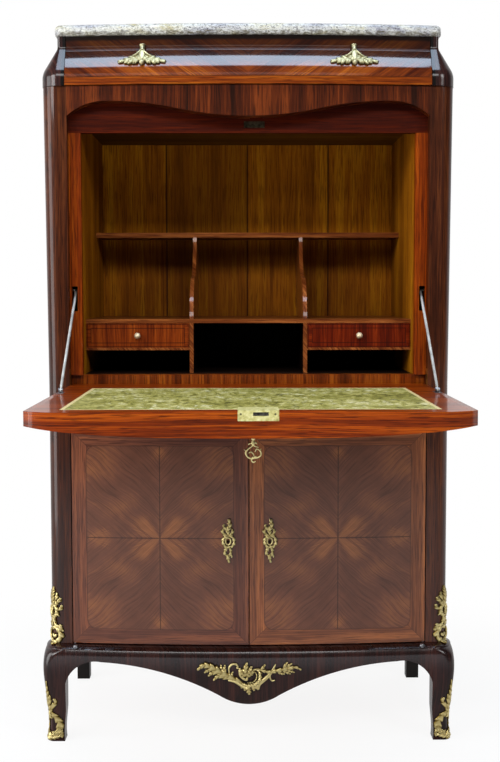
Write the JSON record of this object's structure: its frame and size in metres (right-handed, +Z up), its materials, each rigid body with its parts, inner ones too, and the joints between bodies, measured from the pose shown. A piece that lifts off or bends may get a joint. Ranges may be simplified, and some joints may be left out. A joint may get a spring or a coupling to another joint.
{
  "type": "fall-front secretaire",
  "caption": "Upright bow-fronted writing cabinet with marble top, frieze drawer, leather-lined fall-front on stays over a fitted interior, cupboard doors and gilt mounts on cabriole legs.",
  "frame": {"origin": "on the floor, at the centre of the plan of the whole part with its fall-front open", "axes": "+Z up, the front faces -Y, +X to the right as seen from the front"},
  "size_m": [0.8442, 1.018, 1.45],
  "materials": {
    "marble": "polished speckled breccia",
    "rosewood": "dark glossy french polish",
    "frieze_veneer": "glossy diagonal veneer",
    "tulipwood": "glossy crossbanded veneer",
    "side_veneer": "polished veneer",
    "door_veneer": "quarter-matched polished veneer",
    "oak": "waxed oak",
    "drawer_veneer": "polished veneer with stringing",
    "green_leather": "worn, gilt tooled border",
    "gilt_bronze": "chased gilt bronze",
    "brass": "polished",
    "steel": "worn"
  },
  "bodies": {
    "case": {"marble_top": "marble", "front_post_left": "rosewood", "front_post_right": "rosewood", "frieze_corner_left": "rosewood", "frieze_corner_right": "rosewood", "front_apron": "rosewood", "side_aprons": "rosewood", "front_leg_left": "rosewood", "front_leg_right": "rosewood", "frieze_side_left": "frieze_veneer", "frieze_side_right": "frieze_veneer", "serpentine_rail": "tulipwood", "mid_rail": "tulipwood", "floor_rail": "tulipwood", "rebate_stiles": "tulipwood", "stop_board": "tulipwood", "side_panel_left": "side_veneer", "side_panel_right": "side_veneer", "top_board": "oak", "drawer_dust_board": "oak", "rear_stile_left": "oak", "rear_stile_right": "oak", "back_boards": "oak", "interior_linings": "oak", "interior_ceiling": "oak", "interior_floor": "oak", "upper_shelf": "oak", "nest_shelf": "oak", "nest_frame": "oak", "partition_left": "oak", "partition_right": "oak", "cupboard_shelf": "oak", "bottom_board": "oak", "sabots": "gilt_bronze", "apron_mount": "gilt_bronze", "corner_mounts": "gilt_bronze", "flap_pivots": "brass", "strike_plate": "brass", "door_pivots": "brass"},
    "frieze_drawer": {"frieze_drawer_front": "frieze_veneer", "frieze_drawer_box": "oak", "drawer_pulls": "gilt_bronze"},
    "left_small_drawer": {"small_drawer_left": "drawer_veneer", "small_drawer_left_knob": "brass"},
    "right_small_drawer": {"small_drawer_right": "drawer_veneer", "small_drawer_right_knob": "brass"},
    "fall_front": {"flap_panel": "tulipwood", "writing_leather": "green_leather", "flap_lock": "brass", "stay_plates": "brass"},
    "fall_front_bolt": {"flap_bolt": "steel"},
    "fall_front_key": {"flap_key": "gilt_bronze"},
    "left_stay": {"stay_rod_left": "steel"},
    "right_stay": {"stay_rod_right": "steel"},
    "left_door": {"door_left": "door_veneer", "escutcheon_left": "gilt_bronze"},
    "right_door": {"door_right": "door_veneer", "escutcheon_right": "gilt_bronze", "door_lock": "brass"},
    "door_bolt": {"door_lock_bolt": "steel"}
  },
  "joints": [
    {"name": "frieze_drawer_slide", "type": "slide", "parent": "case", "child": "frieze_drawer", "axis": [0, -1, 0], "range_m": [0, 0.3]},
    {"name": "left_small_drawer_slide", "type": "slide", "parent": "case", "child": "left_small_drawer", "axis": [0, -1, 0], "range_m": [0, 0.2]},
    {"name": "right_small_drawer_slide", "type": "slide", "parent": "case", "child": "right_small_drawer", "axis": [0, -1, 0], "range_m": [0, 0.2]},
    {"name": "fall_front_hinge", "type": "hinge", "parent": "case", "child": "fall_front", "pos_m": [0, 0.074, 0.712], "axis": [1, 0, 0], "range_deg": [-90, 0]},
    {"name": "left_stay_swing", "type": "hinge", "parent": "fall_front", "child": "left_stay", "pos_m": [-0.352, -0.119, 0.736], "axis": [1, 0, 0], "range_deg": [0, 45]},
    {"name": "right_stay_swing", "type": "hinge", "parent": "fall_front", "child": "right_stay", "pos_m": [0.352, -0.119, 0.736], "axis": [1, 0, 0], "range_deg": [0, 45]},
    {"name": "key_turn", "type": "hinge", "parent": "fall_front", "child": "fall_front_key", "pos_m": [0.004, -0.442, 0.7], "axis": [0, 0, 1], "range_deg": [0, 180]},
    {"name": "bolt_throw", "type": "slide", "parent": "fall_front", "child": "fall_front_bolt", "axis": [0, -1, 0], "range_m": [0, 0.009]},
    {"name": "left_door_hinge", "type": "hinge", "parent": "case", "child": "left_door", "pos_m": [-0.3558, 0.0722, 0.42], "axis": [0, 0, -1], "range_deg": [0, 95]},
    {"name": "right_door_hinge", "type": "hinge", "parent": "case", "child": "right_door", "pos_m": [0.3558, 0.0722, 0.42], "axis": [0, 0, 1], "range_deg": [0, 95]},
    {"name": "door_bolt_throw", "type": "slide", "parent": "right_door", "child": "door_bolt", "axis": [-1, 0, 0], "range_m": [0, 0.008]}
  ],
  "couplings": [
    {"joint": "left_stay_swing", "follows": "fall_front_hinge", "ratio": -0.5},
    {"joint": "right_stay_swing", "follows": "fall_front_hinge", "ratio": -0.5},
    {"joint": "bolt_throw", "follows": "key_turn", "m_per_rad": 0.00286}
  ]
}
